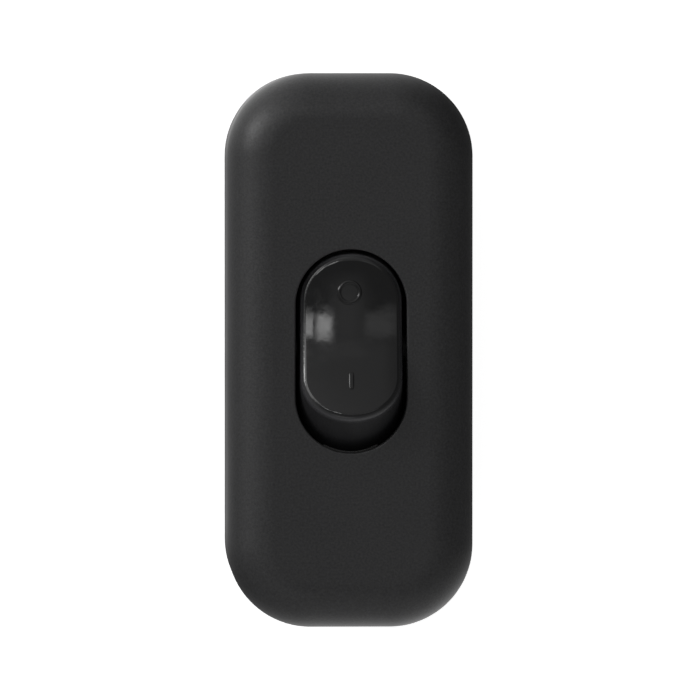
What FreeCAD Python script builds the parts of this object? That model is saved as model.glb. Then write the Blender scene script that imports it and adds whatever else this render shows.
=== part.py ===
import FreeCAD, Part
import math
import os
import Sketcher

# Inline cord switch lying on its back: X across, Y along the cord, Z out of the front face.
# The origin is the middle of the underside. The switch is off: the rocker's +Y end is pressed in.

# Housing
body_length = 62.0
body_width = 27.5
body_height = 21.0
parting_height = 9.0
corner_radius = 9.3
cover_round = 5.0
base_round = 2.5
side_wall = 1.8
top_wall = 2.0
floor_wall = 2.0
lip_width = 0.8
lip_height = 1.2
lip_clearance = 0.1
window_length = 22.7
window_width = 12.4
window_round = 0.2
seam_round = 0.3
rib_width = 1.0
barrier_width = 1.2

# Cord inlets and clamps
inlet_radius = 3.6
collar_wall = 1.6
collar_length = 3.6
clamp_inset = 7.7
clamp_length = 15.6
clamp_width = 4.4
clamp_thickness = 2.4
clamp_seat_rise = 0.6
clamp_ridge = 0.8
clamp_screw_offset = 5.8
clamp_screw_radius = 1.0
clamp_screw_reach = 5.0
clamp_head_radius = 1.9
clamp_head_height = 1.4
saddle_width = 2.2
saddle_cheek = 1.2

# Housing screws
housing_screw_x = 8.8
housing_screw_y = 8.5
housing_screw_radius = 1.1
housing_screw_reach = 7.0
housing_head_radius = 2.1
housing_head_height = 1.5
head_recess = 3.6
boss_wall = 0.9
screw_clearance = 0.05
hole_clearance = 0.3
head_chamfer = 0.7

# Rocker
rocker_tilt = 12.0
pivot_depth = 6.3
end_gap = 0.3
side_gap = 0.6
side_draft = 3.0
end_draft = 21.0
blank_height = 9.6
valley_height = 7.3
face_radius = 50.0
crown_radius = 22.0
rim_round = 0.8
rocker_wall = 1.4
roof_height = 5.4
trunnion_radius = 1.5
trunnion_clearance = 0.05
lug_gap = 0.45
lug_thickness = 2.0
lug_wall = 1.4
stop_lip_width = 6.0
stop_lip_bottom = 0.6
stop_lip_reach = 0.4
stop_gap = 0.1
stem_wall = 0.55
stem_drop = 4.6

# Plungers and springs
pole_offset = 3.5
plunger_radius = 1.5
plunger_clearance = 0.05
plunger_guide = 3.6
spigot_radius = 0.75
spigot_height = 1.2
spring_length = 4.2
spring_radius = 1.15
spring_wire = 0.36
spring_turns = 5.0
tip_clearance = 0.12

# Contacts and terminals
hinge_height = 5.6
contact_tilt = 10.0
contact_width = 3.4
contact_strip = 0.6
wing_length = 8.4
vertex_rise = 0.7
cheek_radius = 1.3
cheek_thickness = 0.6
cradle_clearance = 0.05
cradle_lip_drop = 0.15
terminal_strip = 0.8
rivet_reach = 7.0
rivet_head_radius = 1.3
rivet_head_height = 0.6
rivet_shank_radius = 0.7
rivet_button_radius = 1.1
rivet_button_height = 0.3
contact_gap = 0.1
seat_margin = 2.2
block_start = 12.4
block_length = 5.6
block_width = 5.0
block_bottom = 3.4
block_height = 6.2
wire_hole_rise = 3.6
wire_hole_radius = 1.3
wire_screw_radius = 1.4
wire_head_radius = 2.3
wire_head_height = 1.7
nest_clearance = 0.15
nest_height = 3.0
nest_stop_height = 1.6

doc = FreeCAD.newDocument("inline_cord_switch")
sheet = doc.addObject("Spreadsheet::Sheet", "sizes")


class Size:
    """A number together with the sheet expression that gives it."""

    def __init__(self, value, text):
        self.value = value
        self.text = text

    def __add__(self, other):
        other = as_size(other)
        return Size(self.value + other.value, f"({self.text} + {other.text})")

    def __sub__(self, other):
        other = as_size(other)
        return Size(self.value - other.value, f"({self.text} - {other.text})")

    def __mul__(self, other):
        other = as_size(other)
        return Size(self.value * other.value, f"({self.text} * {other.text})")

    def __truediv__(self, other):
        other = as_size(other)
        return Size(self.value / other.value, f"({self.text} / {other.text})")

    def __neg__(self):
        return Size(-self.value, f"(0 - {self.text})")


def as_size(number):
    """Take a plain number as a size."""
    if isinstance(number, Size):
        return number
    return Size(float(number), f"{float(number):.6f}")


def in_order(one, other):
    """Two sizes, the lower first."""
    return (one, other) if one.value < other.value else (other, one)


def sine(angle):
    return Size(math.sin(math.radians(angle.value)), f"sin({angle.text})")


def cosine(angle):
    return Size(math.cos(math.radians(angle.value)), f"cos({angle.text})")


def slope(angle):
    return sine(angle) / cosine(angle)


def root(size):
    return Size(math.sqrt(size.value), f"sqrt({size.text})")


# Each size above gets a row of the sheet, and from here on its name stands for that cell
driving = {name: value for name, value in globals().items() if isinstance(value, float)}
for row, (name, value) in enumerate(driving.items(), 1):
    sheet.set(f"A{row}", name)
    sheet.set(f"B{row}", str(value))
    sheet.setAlias(f"B{row}", name)
    globals()[name] = Size(value, f"sizes.{name}")
doc.recompute()

# Worked-out places
half_length = body_length / 2
half_width = body_width / 2
ceiling = body_height - top_wall
pivot_height = body_height - pivot_depth
zero = as_size(0)


def sketch_on(body, name, plane, lift=zero, rise=zero):
    """Start a sketch on an origin plane, moved along its normal by lift and along its Y by rise."""
    sketch = body.newObject("Sketcher::SketchObject", name)
    origin_plane = next(f for f in body.Origin.OriginFeatures if f.Role == plane)
    sketch.AttachmentSupport = [(origin_plane, "")]
    sketch.MapMode = "FlatFace"
    sketch.setExpression("AttachmentOffset.Base.z", lift.text)
    sketch.setExpression("AttachmentOffset.Base.y", rise.text)
    return sketch


def held(item, end, point):
    """Constraints, with their sizes, that hold one end or the centre of an item at a point."""
    pairs = zip(("DistanceX", "DistanceY"), point)
    return [
        (Sketcher.Constraint(kind, -1, 1, item, end, size.value), size)
        for kind, size in pairs
        if size is not None
    ]


def constrain(sketch, rules):
    """Add constraints to a sketch and bind each one that has a size to the sheet."""
    first = sketch.ConstraintCount
    sketch.addConstraint([constraint for constraint, size in rules])
    for number, (constraint, size) in enumerate(rules, first):
        if size is not None:
            sketch.setExpression(f"Constraints[{number}]", size.text)


def circle(sketch, x, y, radius):
    """Draw a full circle."""
    centre = (as_size(x), as_size(y))
    middle = FreeCAD.Vector(centre[0].value, centre[1].value, 0)
    item = sketch.addGeometry(Part.Circle(middle, FreeCAD.Vector(0, 0, 1), radius.value), False)
    rules = held(item, 3, centre)
    rules.append((Sketcher.Constraint("Radius", item, radius.value), radius))
    constrain(sketch, rules)


def outline(sketch, corners, arcs=None):
    """Draw a closed outline. arcs gives, for the number of a side, its centre and its turn, 1 or -1."""
    arcs = arcs or {}
    corners = [(as_size(x), as_size(y)) for x, y in corners]
    points = [FreeCAD.Vector(x.value, y.value, 0) for x, y in corners]
    curves = []
    ends = []
    rules = []
    first_item = sketch.GeometryCount
    for side, start in enumerate(points):
        finish = points[(side + 1) % len(points)]
        item = first_item + side
        if side not in arcs:
            curves.append(Part.LineSegment(start, finish))
            ends.append((item, 1, 2))
            continue
        x, y, turn = arcs[side]
        centre = (as_size(x), as_size(y))
        middle = FreeCAD.Vector(centre[0].value, centre[1].value, 0)
        low, high = (start, finish) if turn > 0 else (finish, start)
        angles = [math.atan2(point.y - middle.y, point.x - middle.x) for point in (low, high)]
        if angles[1] <= angles[0]:
            angles[1] += 2 * math.pi
        ring = Part.Circle(middle, FreeCAD.Vector(0, 0, 1), (start - middle).Length)
        curves.append(Part.ArcOfCircle(ring, *angles))
        ends.append((item, 1, 2) if turn > 0 else (item, 2, 1))
        chord = finish - start
        along_x = abs(chord.x) >= abs(chord.y)
        rules += held(item, 3, (None, centre[1]) if along_x else (centre[0], None))
    for side, corner in enumerate(corners):
        before, this = ends[side - 1], ends[side]
        joined = Sketcher.Constraint("Coincident", before[0], before[2], this[0], this[1])
        rules.append((joined, None))
        rules += held(this[0], this[1], corner)
    sketch.addGeometry(curves, False)
    constrain(sketch, rules)


def rectangle(sketch, low_x, high_x, low_y, high_y):
    outline(sketch, [(low_x, low_y), (high_x, low_y), (high_x, high_y), (low_x, high_y)])


def rounded_rectangle(sketch, half_x, half_y, radius):
    """Draw a rectangle about the middle with round corners."""
    flat_x = half_x - radius
    flat_y = half_y - radius
    corners = [
        (half_x, -flat_y), (half_x, flat_y), (flat_x, half_y), (-flat_x, half_y),
        (-half_x, flat_y), (-half_x, -flat_y), (-flat_x, -half_y), (flat_x, -half_y),
    ]
    arcs = {
        1: (flat_x, flat_y, 1), 3: (-flat_x, flat_y, 1),
        5: (-flat_x, -flat_y, 1), 7: (flat_x, -flat_y, 1),
    }
    outline(sketch, corners, arcs)


def stadium(sketch, half_x, half_y):
    """Draw a slot shape along Y with half-round ends."""
    flat = half_y - half_x
    corners = [(half_x, -flat), (half_x, flat), (-half_x, flat), (-half_x, -flat)]
    outline(sketch, corners, {1: (0, flat, 1), 3: (0, -flat, 1)})


def body_named(name):
    body = doc.addObject("PartDesign::Body", name)
    body.Label = name
    return body


def swept(kind, sketch, length, both_ways, reverse):
    """Pad or pocket a sketch by a length."""
    body = sketch.getParentGeoFeatureGroup()
    feature = body.newObject(f"PartDesign::{kind}", f"{sketch.Name}_{kind.lower()}")
    feature.Profile = sketch
    feature.SideType = "Symmetric" if both_ways else "One side"
    feature.Reversed = reverse
    feature.setExpression("Length", as_size(length).text)
    doc.recompute()
    return feature


def pad(sketch, length, both_ways=False, reverse=False):
    return swept("Pad", sketch, length, both_ways, reverse)


def pocket(sketch, length, both_ways=False, reverse=False):
    """Cut a sketch out of its body and see that it took material away."""
    body = sketch.getParentGeoFeatureGroup()
    before = body.Shape.Volume
    feature = swept("Pocket", sketch, length, both_ways, reverse)
    if body.Shape.Volume > before - 1e-6:
        raise RuntimeError(f"{feature.Name} cuts nothing")
    return feature


def revolved(kind, sketch, axis="V_Axis", angle=360.0):
    """Revolve or groove a sketch about one of its own axes, as far on each side of its plane."""
    body = sketch.getParentGeoFeatureGroup()
    feature = body.newObject(f"PartDesign::{kind}", f"{sketch.Name}_{kind.lower()}")
    feature.Profile = sketch
    feature.ReferenceAxis = (sketch, [axis])
    feature.Angle = angle
    feature.Midplane = angle < 360.0
    doc.recompute()
    return feature


def fillet(body, radius, chosen):
    """Round the edges that a test chooses."""
    base = body.Tip
    names = [f"Edge{n}" for n, edge in enumerate(base.Shape.Edges, 1) if chosen(edge)]
    if not names:
        raise RuntimeError(f"{body.Name} has no such edge to round")
    feature = body.newObject("PartDesign::Fillet", f"{body.Name}_fillet")
    feature.Base = (base, names)
    feature.setExpression("Radius", radius.text)
    doc.recompute()
    return feature


def level_edges(height, half_x=math.inf, half_y=math.inf):
    """A test for edges that lie at one height, inside a rectangle about the middle of the plan."""

    def chosen(edge):
        box = edge.BoundBox
        level = max(abs(box.ZMin - height.value), abs(box.ZMax - height.value)) < 1e-4
        inside_x = max(abs(box.XMin), abs(box.XMax)) < half_x + 0.01
        return level and inside_x and max(abs(box.YMin), abs(box.YMax)) < half_y + 0.01

    return chosen


def place(item, x, y, z, turn=None, axis=(1, 0, 0)):
    """Put a finished piece in its place, turned about an axis."""
    angle = turn.value if turn else 0.0
    where = FreeCAD.Vector(as_size(x).value, as_size(y).value, as_size(z).value)
    item.Placement = FreeCAD.Placement(where, FreeCAD.Rotation(FreeCAD.Vector(*axis), angle))
    for letter, size in zip("xyz", (x, y, z)):
        item.setExpression(f"Placement.Base.{letter}", as_size(size).text)
    if turn:
        item.setExpression("Placement.Rotation.Angle", turn.text)


def group_of(name, members):
    """One node of several separate solids."""
    compound = doc.addObject("Part::Compound", name)
    compound.Label = name
    compound.Links = members
    return compound


# Shared places of the mechanism and the terminals
rest_line = vertex_rise * cosine(contact_tilt) - contact_strip
fixed_seat_top = hinge_height + rest_line - rivet_head_height * 2 - contact_gap
line_strip_top = hinge_height - cradle_lip_drop
cradle_inner = cheek_radius + cradle_clearance
cradle_outer = cradle_inner + terminal_strip
block_end = block_start + block_length
block_top = block_bottom + block_height
wire_hole_height = block_bottom + wire_hole_rise
clamp_y = half_length - clamp_inset
clamp_seat = parting_height + clamp_seat_rise
clamp_boss_radius = clamp_screw_radius + screw_clearance + boss_wall
pillar_radius = housing_head_radius + hole_clearance + boss_wall
cover_boss_radius = housing_screw_radius + screw_clearance + boss_wall
stem_radius = plunger_radius + plunger_clearance + stem_wall
sweep_y = window_length / 2 - end_gap
sweep_z = pivot_depth - top_wall
rocker_half_width = window_width / 2 - side_gap
fixed_contact_y = rivet_reach + vertex_rise * sine(contact_tilt)
collar_radius = inlet_radius + collar_wall


def inlet_half(body, upper):
    """Half of both cord inlets: a half-round collar inside each end wall and the bore through them."""
    buried = side_wall / 2
    corners = [(collar_radius, parting_height), (-collar_radius, parting_height)]
    turn = 1 if upper else -1
    for number, end in enumerate((1, -1)):
        ring = sketch_on(body, f"collar_{number}", "XZ_Plane", (half_length - buried) * -end)
        outline(ring, corners, {0: (0, parting_height, turn)})
        pad(ring, collar_length - buried, reverse=end < 0)
        bore = sketch_on(body, f"inlet_{number}", "XZ_Plane", half_length * -end)
        circle(bore, 0, parting_height, inlet_radius)
        pocket(bore, clamp_inset + saddle_width, reverse=end > 0)


def build_base():
    """Lower shell: tray with a tongue round its rim, nests for the terminals and seats for the rest."""
    body = body_named("base_shell")
    plan = sketch_on(body, "base_plan", "XY_Plane")
    rounded_rectangle(plan, half_width, half_length, corner_radius)
    pad(plan, parting_height)
    fillet(body, base_round, level_edges(zero))
    fillet(body, seam_round, level_edges(parting_height))
    tray = sketch_on(body, "base_tray", "XY_Plane", parting_height)
    rounded_rectangle(tray, half_width - side_wall, half_length - side_wall, corner_radius - side_wall)
    pocket(tray, parting_height - floor_wall)
    tongue = sketch_on(body, "base_tongue", "XY_Plane", parting_height)
    for inset in (side_wall - lip_width, side_wall):
        rounded_rectangle(tongue, half_width - inset, half_length - inset, corner_radius - inset)
    pad(tongue, lip_height)
    notches = sketch_on(body, "tongue_notches", "XY_Plane", parting_height)
    notch_half = collar_radius + lip_clearance
    for end in (-1, 1):
        span = in_order((half_length - collar_length) * end, half_length * end)
        rectangle(notches, -notch_half, notch_half, *span)
    pocket(notches, lip_height, reverse=True)
    tops = {
        "barrier": parting_height,
        "cradle_rests": hinge_height - cradle_outer,
        "fixed_seats": fixed_seat_top - terminal_strip,
        "line_props": line_strip_top - terminal_strip,
        "shelves": block_bottom,
        "fences": block_bottom + nest_height,
        "stops": block_bottom + nest_stop_height,
        "pillars": parting_height,
        "clamp_bosses": clamp_seat,
        "saddles": parting_height - inlet_radius + saddle_cheek,
    }
    ribs = {name: sketch_on(body, name, "XY_Plane", floor_wall) for name in tops}
    stop_start = block_end + nest_clearance
    barrier_end = stop_start + rib_width
    rectangle(ribs["barrier"], -barrier_width / 2, barrier_width / 2, -barrier_end, barrier_end)
    saddle_half = clamp_screw_offset - clamp_boss_radius / 2
    for side in (-1, 1):
        pole = pole_offset * side
        strip = (pole - contact_width / 2, pole + contact_width / 2)
        block = (pole - block_width / 2, pole + block_width / 2)
        fence = pole + (block_width / 2 + nest_clearance) * side
        fence = in_order(fence, fence + rib_width * side)
        rectangle(ribs["cradle_rests"], *strip, -cheek_radius, cheek_radius)
        seat = (fixed_contact_y - seat_margin, fixed_contact_y + seat_margin)
        rectangle(ribs["fixed_seats"], *strip, *seat)
        rectangle(ribs["line_props"], *strip, -seat[1], -seat[0])
        circle(ribs["pillars"], housing_screw_x * side, housing_screw_y * side, pillar_radius)
        for end in (-1, 1):
            span = in_order(block_start * end, block_end * end)
            rectangle(ribs["shelves"], *block, *span)
            rectangle(ribs["fences"], *fence, *span)
            rectangle(ribs["stops"], *block, *in_order(stop_start * end, barrier_end * end))
            circle(ribs["clamp_bosses"], clamp_screw_offset * side, clamp_y * end, clamp_boss_radius)
    for end in (-1, 1):
        saddle = (clamp_y * end - saddle_width / 2, clamp_y * end + saddle_width / 2)
        rectangle(ribs["saddles"], -saddle_half, saddle_half, *saddle)
    for name, top in tops.items():
        pad(ribs[name], top - floor_wall)
    inlet_half(body, upper=False)

    recesses = sketch_on(body, "head_recesses", "XY_Plane")
    holes = sketch_on(body, "screw_holes", "XY_Plane")
    reliefs = sketch_on(body, "rivet_reliefs", "XY_Plane", tops["fixed_seats"])
    pilots = sketch_on(body, "clamp_pilots", "XY_Plane", clamp_seat)
    for side in (-1, 1):
        spot = (housing_screw_x * side, housing_screw_y * side)
        circle(recesses, *spot, housing_head_radius + hole_clearance)
        circle(holes, *spot, housing_screw_radius + hole_clearance)
        circle(reliefs, pole_offset * side, fixed_contact_y, rivet_button_radius + hole_clearance)
        for end in (-1, 1):
            circle(pilots, clamp_screw_offset * side, clamp_y * end, clamp_screw_radius + screw_clearance)
    pocket(recesses, head_recess, reverse=True)
    pocket(holes, parting_height, reverse=True)
    pocket(reliefs, rivet_button_height + hole_clearance)
    pocket(pilots, clamp_screw_reach + hole_clearance)
    return body


def build_cover():
    """Upper shell: fully rounded lid with the rocker's window, bearing lugs and screw bosses."""
    body = body_named("cover_shell")
    plan = sketch_on(body, "cover_plan", "XY_Plane", parting_height)
    rounded_rectangle(plan, half_width, half_length, corner_radius)
    pad(plan, body_height - parting_height)
    fillet(body, cover_round, level_edges(body_height))
    fillet(body, seam_round, level_edges(parting_height))
    hollow = sketch_on(body, "cover_hollow", "XY_Plane", parting_height)
    rounded_rectangle(hollow, half_width - side_wall, half_length - side_wall, corner_radius - side_wall)
    pocket(hollow, ceiling - parting_height, reverse=True)
    fillet(body, cover_round - top_wall, level_edges(ceiling))
    rebate = sketch_on(body, "cover_rebate", "XY_Plane", parting_height)
    inset = side_wall - lip_width - lip_clearance
    rounded_rectangle(rebate, half_width - inset, half_length - inset, corner_radius - inset)
    pocket(rebate, lip_height + lip_clearance, reverse=True)
    window = sketch_on(body, "window", "XY_Plane", body_height)
    stadium(window, window_width / 2, window_length / 2)
    pocket(window, top_wall * 2)
    fillet(body, window_round, level_edges(body_height, window_width.value / 2, window_length.value / 2))

    slot = trunnion_radius + trunnion_clearance
    lug_half = slot + lug_wall
    lug_foot = pivot_height - trunnion_radius
    lug_inner = window_width / 2 + lug_gap
    for number, start in enumerate((lug_inner, -lug_inner - lug_thickness)):
        lug = sketch_on(body, f"lug_{number}", "YZ_Plane", start)
        corners = [
            (-lug_half, lug_foot), (-slot, lug_foot), (-slot, pivot_height), (slot, pivot_height),
            (slot, lug_foot), (lug_half, lug_foot), (lug_half, ceiling), (-lug_half, ceiling),
        ]
        outline(lug, corners, {2: (0, pivot_height, -1)})
        pad(lug, lug_thickness)
    bosses = sketch_on(body, "cover_bosses", "XY_Plane", parting_height)
    pilots = sketch_on(body, "cover_pilots", "XY_Plane", parting_height)
    for side in (-1, 1):
        spot = (housing_screw_x * side, housing_screw_y * side)
        circle(bosses, *spot, cover_boss_radius)
        circle(pilots, *spot, housing_screw_radius + screw_clearance)
    pad(bosses, ceiling - parting_height)
    pocket(pilots, housing_screw_reach + hole_clearance, reverse=True)
    inlet_half(body, upper=True)
    return body


def build_rocker():
    """Rocker: a drafted stadium that just passes the window's ends, with a dished and crowned face."""
    body = body_named("rocker")
    lean = slope(rocker_tilt - end_draft)
    foot_half = (sweep_y - sweep_z * lean) / (cosine(rocker_tilt) + sine(rocker_tilt) * lean)
    blank_half = foot_half - blank_height * slope(end_draft)
    foot = sketch_on(body, "rocker_foot", "XY_Plane")
    stadium(foot, rocker_half_width + valley_height * slope(side_draft), foot_half)
    blank = sketch_on(body, "rocker_blank", "XY_Plane", blank_height)
    stadium(blank, rocker_half_width - (blank_height - valley_height) * slope(side_draft), blank_half)
    loft = body.newObject("PartDesign::AdditiveLoft", "rocker_loft")
    loft.Profile = foot
    loft.Sections = [blank]
    loft.Ruled = True
    doc.recompute()

    face_axis = valley_height + face_radius
    side = window_width / 2
    drop = crown_radius - root(crown_radius * crown_radius - side * side)
    face = sketch_on(body, "face", "XZ_Plane", rise=face_axis)
    floor = -face_radius
    corners = [(-side, floor - drop), (side, floor - drop), (side, 0), (-side, 0)]
    outline(face, corners, {0: (0, floor - crown_radius, -1)})
    revolved("Groove", face, "H_Axis", 90.0)
    fillet(body, rim_round, lambda edge: edge.BoundBox.ZMin > roof_height.value)

    axle = sketch_on(body, "axle", "YZ_Plane")
    circle(axle, 0, 0, trunnion_radius)
    trunnion_reach = window_width / 2 + lug_gap + lug_thickness
    pad(axle, trunnion_reach * 2, both_ways=True)
    lips = sketch_on(body, "stop_lips", "XY_Plane", stop_lip_bottom)
    lip_end = foot_half + stop_lip_reach
    lip_half = stop_lip_width / 2
    for end in (-1, 1):
        span = in_order((foot_half - rocker_wall) * end, lip_end * end)
        rectangle(lips, -lip_half, lip_half, *span)
    lip_top = (sweep_z - stop_gap - lip_end * sine(rocker_tilt)) / cosine(rocker_tilt)
    pad(lips, lip_top - stop_lip_bottom)
    hollow = sketch_on(body, "rocker_hollow", "XY_Plane", -trunnion_radius)
    hollow_half = foot_half - roof_height * slope(end_draft) - rocker_wall
    stadium(hollow, rocker_half_width - rocker_wall, hollow_half)
    pocket(hollow, roof_height + trunnion_radius, reverse=True)
    stems = sketch_on(body, "stems", "XY_Plane", -stem_drop)
    bores = sketch_on(body, "stem_bores", "XY_Plane", -stem_drop)
    for side in (-1, 1):
        circle(stems, pole_offset * side, 0, stem_radius)
        circle(bores, pole_offset * side, 0, plunger_radius + plunger_clearance)
    pad(stems, stem_drop + roof_height)
    pocket(bores, plunger_guide + spring_length, reverse=True)
    place(body, 0, 0, pivot_height, rocker_tilt, (-1, 0, 0))
    return body


# Along a tilted stem, distances below the axle
plunger_tip = pivot_height - hinge_height - vertex_rise - tip_clearance
plunger_top = stem_drop - plunger_guide


def build_plunger(name, side):
    """Plunger with a round nose and a spigot that centres its spring."""
    body = body_named(name)
    section = sketch_on(body, f"{name}_section", "XZ_Plane")
    nose = -plunger_tip + plunger_radius
    corners = [
        (0, -plunger_tip), (plunger_radius, nose), (plunger_radius, -plunger_top),
        (spigot_radius, -plunger_top), (spigot_radius, spigot_height - plunger_top),
        (0, spigot_height - plunger_top),
    ]
    outline(section, corners, {0: (0, nose, 1)})
    revolved("Revolution", section)
    place(body, pole_offset * side, 0, pivot_height, rocker_tilt, (-1, 0, 0))
    return body


def build_spring(name, side):
    """Coil spring between the plunger's shoulder and the blind end of the stem's bore."""
    body = body_named(name)
    wire = sketch_on(body, f"{name}_wire", "XZ_Plane")
    half_wire = spring_wire / 2
    low = -plunger_top
    rectangle(wire, spring_radius - half_wire, spring_radius + half_wire, low, low + spring_wire)
    coil = body.newObject("PartDesign::AdditiveHelix", f"{name}_coil")
    coil.Profile = wire
    coil.ReferenceAxis = (wire, ["V_Axis"])
    coil.Mode = "height-turns-angle"
    coil.setExpression("Height", (spring_length - spring_wire).text)
    coil.setExpression("Turns", spring_turns.text)
    doc.recompute()
    place(body, pole_offset * side, 0, pivot_height, rocker_tilt, (-1, 0, 0))
    return body


def on_wing(reach, depth):
    """A point of the raised wing at rest, reach along it from its vertex and depth below its top."""
    lift = contact_tilt * 2
    rise = vertex_rise
    y = reach * cosine(lift) + depth * sine(lift) - rise * sine(contact_tilt)
    z = reach * sine(lift) - depth * cosine(lift) + rise * cosine(contact_tilt)
    return y, hinge_height + z


def build_contact(name, side):
    """Seesaw contact: a V strip with two half-round cheeks that rock in the line terminal's cradle."""
    body = body_named(name)
    strip = sketch_on(body, f"{name}_strip", "YZ_Plane")
    run = wing_length * cosine(contact_tilt)
    climb = wing_length * sine(contact_tilt)
    under_y = contact_strip * sine(contact_tilt)
    under_z = contact_strip * cosine(contact_tilt)
    vertex_under = vertex_rise - contact_strip / cosine(contact_tilt)
    corners = [
        (0, vertex_under), (run + under_y, vertex_rise + climb - under_z), (run, vertex_rise + climb),
        (0, vertex_rise), (-run, vertex_rise + climb), (-run - under_y, vertex_rise + climb - under_z),
    ]
    outline(strip, corners)
    pad(strip, contact_width, both_ways=True)
    cheeks = sketch_on(body, f"{name}_cheeks", "YZ_Plane")
    buried = vertex_rise - contact_strip / 2
    outline(
        cheeks,
        [(-cheek_radius, 0), (cheek_radius, 0), (cheek_radius, buried), (-cheek_radius, buried)],
        {0: (0, 0, 1)},
    )
    pad(cheeks, contact_width, both_ways=True)
    between = sketch_on(body, f"{name}_between", "YZ_Plane")
    clear = cheek_radius + cradle_clearance
    slope_rise = clear * slope(contact_tilt)
    outline(between, [
        (-clear, -clear), (clear, -clear), (clear, vertex_under + slope_rise),
        (0, vertex_under), (-clear, vertex_under + slope_rise),
    ])
    pocket(between, contact_width - cheek_thickness * 2, both_ways=True)
    hole = sketch_on(body, f"{name}_hole", "XY_Plane", zero)
    middle_y = rivet_reach * cosine(contact_tilt) + contact_strip / 2 * sine(contact_tilt)
    hole.AttachmentOffset = FreeCAD.Placement(
        FreeCAD.Vector(0, middle_y.value, 0), FreeCAD.Rotation(FreeCAD.Vector(1, 0, 0), contact_tilt.value)
    )
    middle_z = vertex_rise + rivet_reach * sine(contact_tilt) - contact_strip / 2 * cosine(contact_tilt)
    hole.setExpression("AttachmentOffset.Base.y", middle_y.text)
    hole.setExpression("AttachmentOffset.Base.z", middle_z.text)
    hole.setExpression("AttachmentOffset.Rotation.Angle", contact_tilt.text)
    circle(hole, 0, 0, rivet_shank_radius)
    pocket(hole, contact_strip * 2, both_ways=True)
    place(body, pole_offset * side, 0, hinge_height, contact_tilt)
    return body


def build_rivet(name, grip):
    """Contact rivet: round head, shank through a strip of the given grip and a closed-up button."""
    body = body_named(name)
    section = sketch_on(body, f"{name}_section", "XZ_Plane")
    top = grip + rivet_button_height
    outline(section, [
        (0, -rivet_head_height), (rivet_head_radius, -rivet_head_height), (rivet_head_radius, 0),
        (rivet_shank_radius, 0), (rivet_shank_radius, grip), (rivet_button_radius, grip),
        (rivet_button_radius, top), (0, top),
    ])
    revolved("Revolution", section)
    return body


def build_block(body, name, end):
    """Terminal block at one end of a pole, with a wire hole along Y and a threaded hole from the top."""
    plan = sketch_on(body, f"{name}_block", "XY_Plane", block_bottom)
    span = in_order(block_start * end, block_end * end)
    rectangle(plan, -block_width / 2, block_width / 2, *span)
    pad(plan, block_height)
    wire = sketch_on(body, f"{name}_wire_hole", "XZ_Plane", -(block_start + block_length / 2) * end)
    circle(wire, 0, wire_hole_height, wire_hole_radius)
    pocket(wire, block_length * 2, both_ways=True)
    thread = sketch_on(body, f"{name}_screw_hole", "XY_Plane", block_top)
    circle(thread, 0, (block_start + block_length / 2) * end, wire_screw_radius + screw_clearance)
    pocket(thread, block_top - wire_hole_height)


def build_line_terminal(name, side):
    """Line terminal: a strip from the block to a round cradle for the seesaw contact."""
    body = body_named(name)
    strip = sketch_on(body, f"{name}_strip", "YZ_Plane")
    top = line_strip_top
    under = top - terminal_strip
    sag = hinge_height - under
    outer_low = root(cradle_outer * cradle_outer - sag * sag)
    outer_high = root(cradle_outer * cradle_outer - cradle_lip_drop * cradle_lip_drop)
    inner_high = root(cradle_inner * cradle_inner - cradle_lip_drop * cradle_lip_drop)
    inside_block = -(block_start + terminal_strip)
    corners = [
        (inside_block, under), (-outer_low, under), (outer_high, top),
        (inner_high, top), (-inner_high, top), (inside_block, top),
    ]
    outline(strip, corners, {1: (0, hinge_height, 1), 3: (0, hinge_height, -1)})
    pad(strip, contact_width, both_ways=True)
    build_block(body, name, -1)
    place(body, pole_offset * side, 0, 0)
    return body


def build_load_terminal(name, side):
    """Load terminal: a strip from the block to the seat of the fixed contact rivet."""
    body = body_named(name)
    strip = sketch_on(body, f"{name}_strip", "XY_Plane", fixed_seat_top - terminal_strip)
    start = fixed_contact_y - seat_margin
    rectangle(strip, -contact_width / 2, contact_width / 2, start, block_start + terminal_strip)
    pad(strip, terminal_strip)
    hole = sketch_on(body, f"{name}_rivet_hole", "XY_Plane", fixed_seat_top)
    circle(hole, 0, fixed_contact_y, rivet_shank_radius)
    pocket(hole, terminal_strip)
    build_block(body, name, 1)
    place(body, pole_offset * side, 0, 0)
    return body


def build_screw(name, shank_radius, shank_length, head_radius, head_height):
    """Screw with a pan head on +Z and its bearing face at its own origin."""
    body = body_named(name)
    section = sketch_on(body, f"{name}_section", "XZ_Plane")
    outline(section, [
        (0, -shank_length), (shank_radius, -shank_length), (shank_radius, 0), (head_radius, 0),
        (head_radius, head_height - head_chamfer), (head_radius - head_chamfer, head_height),
        (0, head_height),
    ])
    revolved("Revolution", section)
    return body


def build_clamp(name, end):
    """Cord clamp bar with round ends, two screw holes and a ridge that bites on the cord."""
    body = body_named(name)
    plan = sketch_on(body, f"{name}_plan", "XY_Plane")
    half = clamp_length / 2
    edge = clamp_width / 2
    flat = half - edge
    corners = [(-flat, -edge), (flat, -edge), (flat, edge), (-flat, edge)]
    outline(plan, corners, {1: (flat, 0, 1), 3: (-flat, 0, 1)})
    pad(plan, clamp_thickness)
    ridge = sketch_on(body, f"{name}_ridge", "YZ_Plane")
    outline(ridge, [(-clamp_ridge, 0), (0, -clamp_ridge), (clamp_ridge, 0)])
    pad(ridge, inlet_radius * 2 - saddle_cheek * 2, both_ways=True)
    holes = sketch_on(body, f"{name}_holes", "XY_Plane")
    for side in (-1, 1):
        circle(holes, clamp_screw_offset * side, 0, clamp_screw_radius + hole_clearance / 2)
    pocket(holes, clamp_thickness, reverse=True)
    place(body, 0, clamp_y * end, clamp_seat)
    return body


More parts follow.
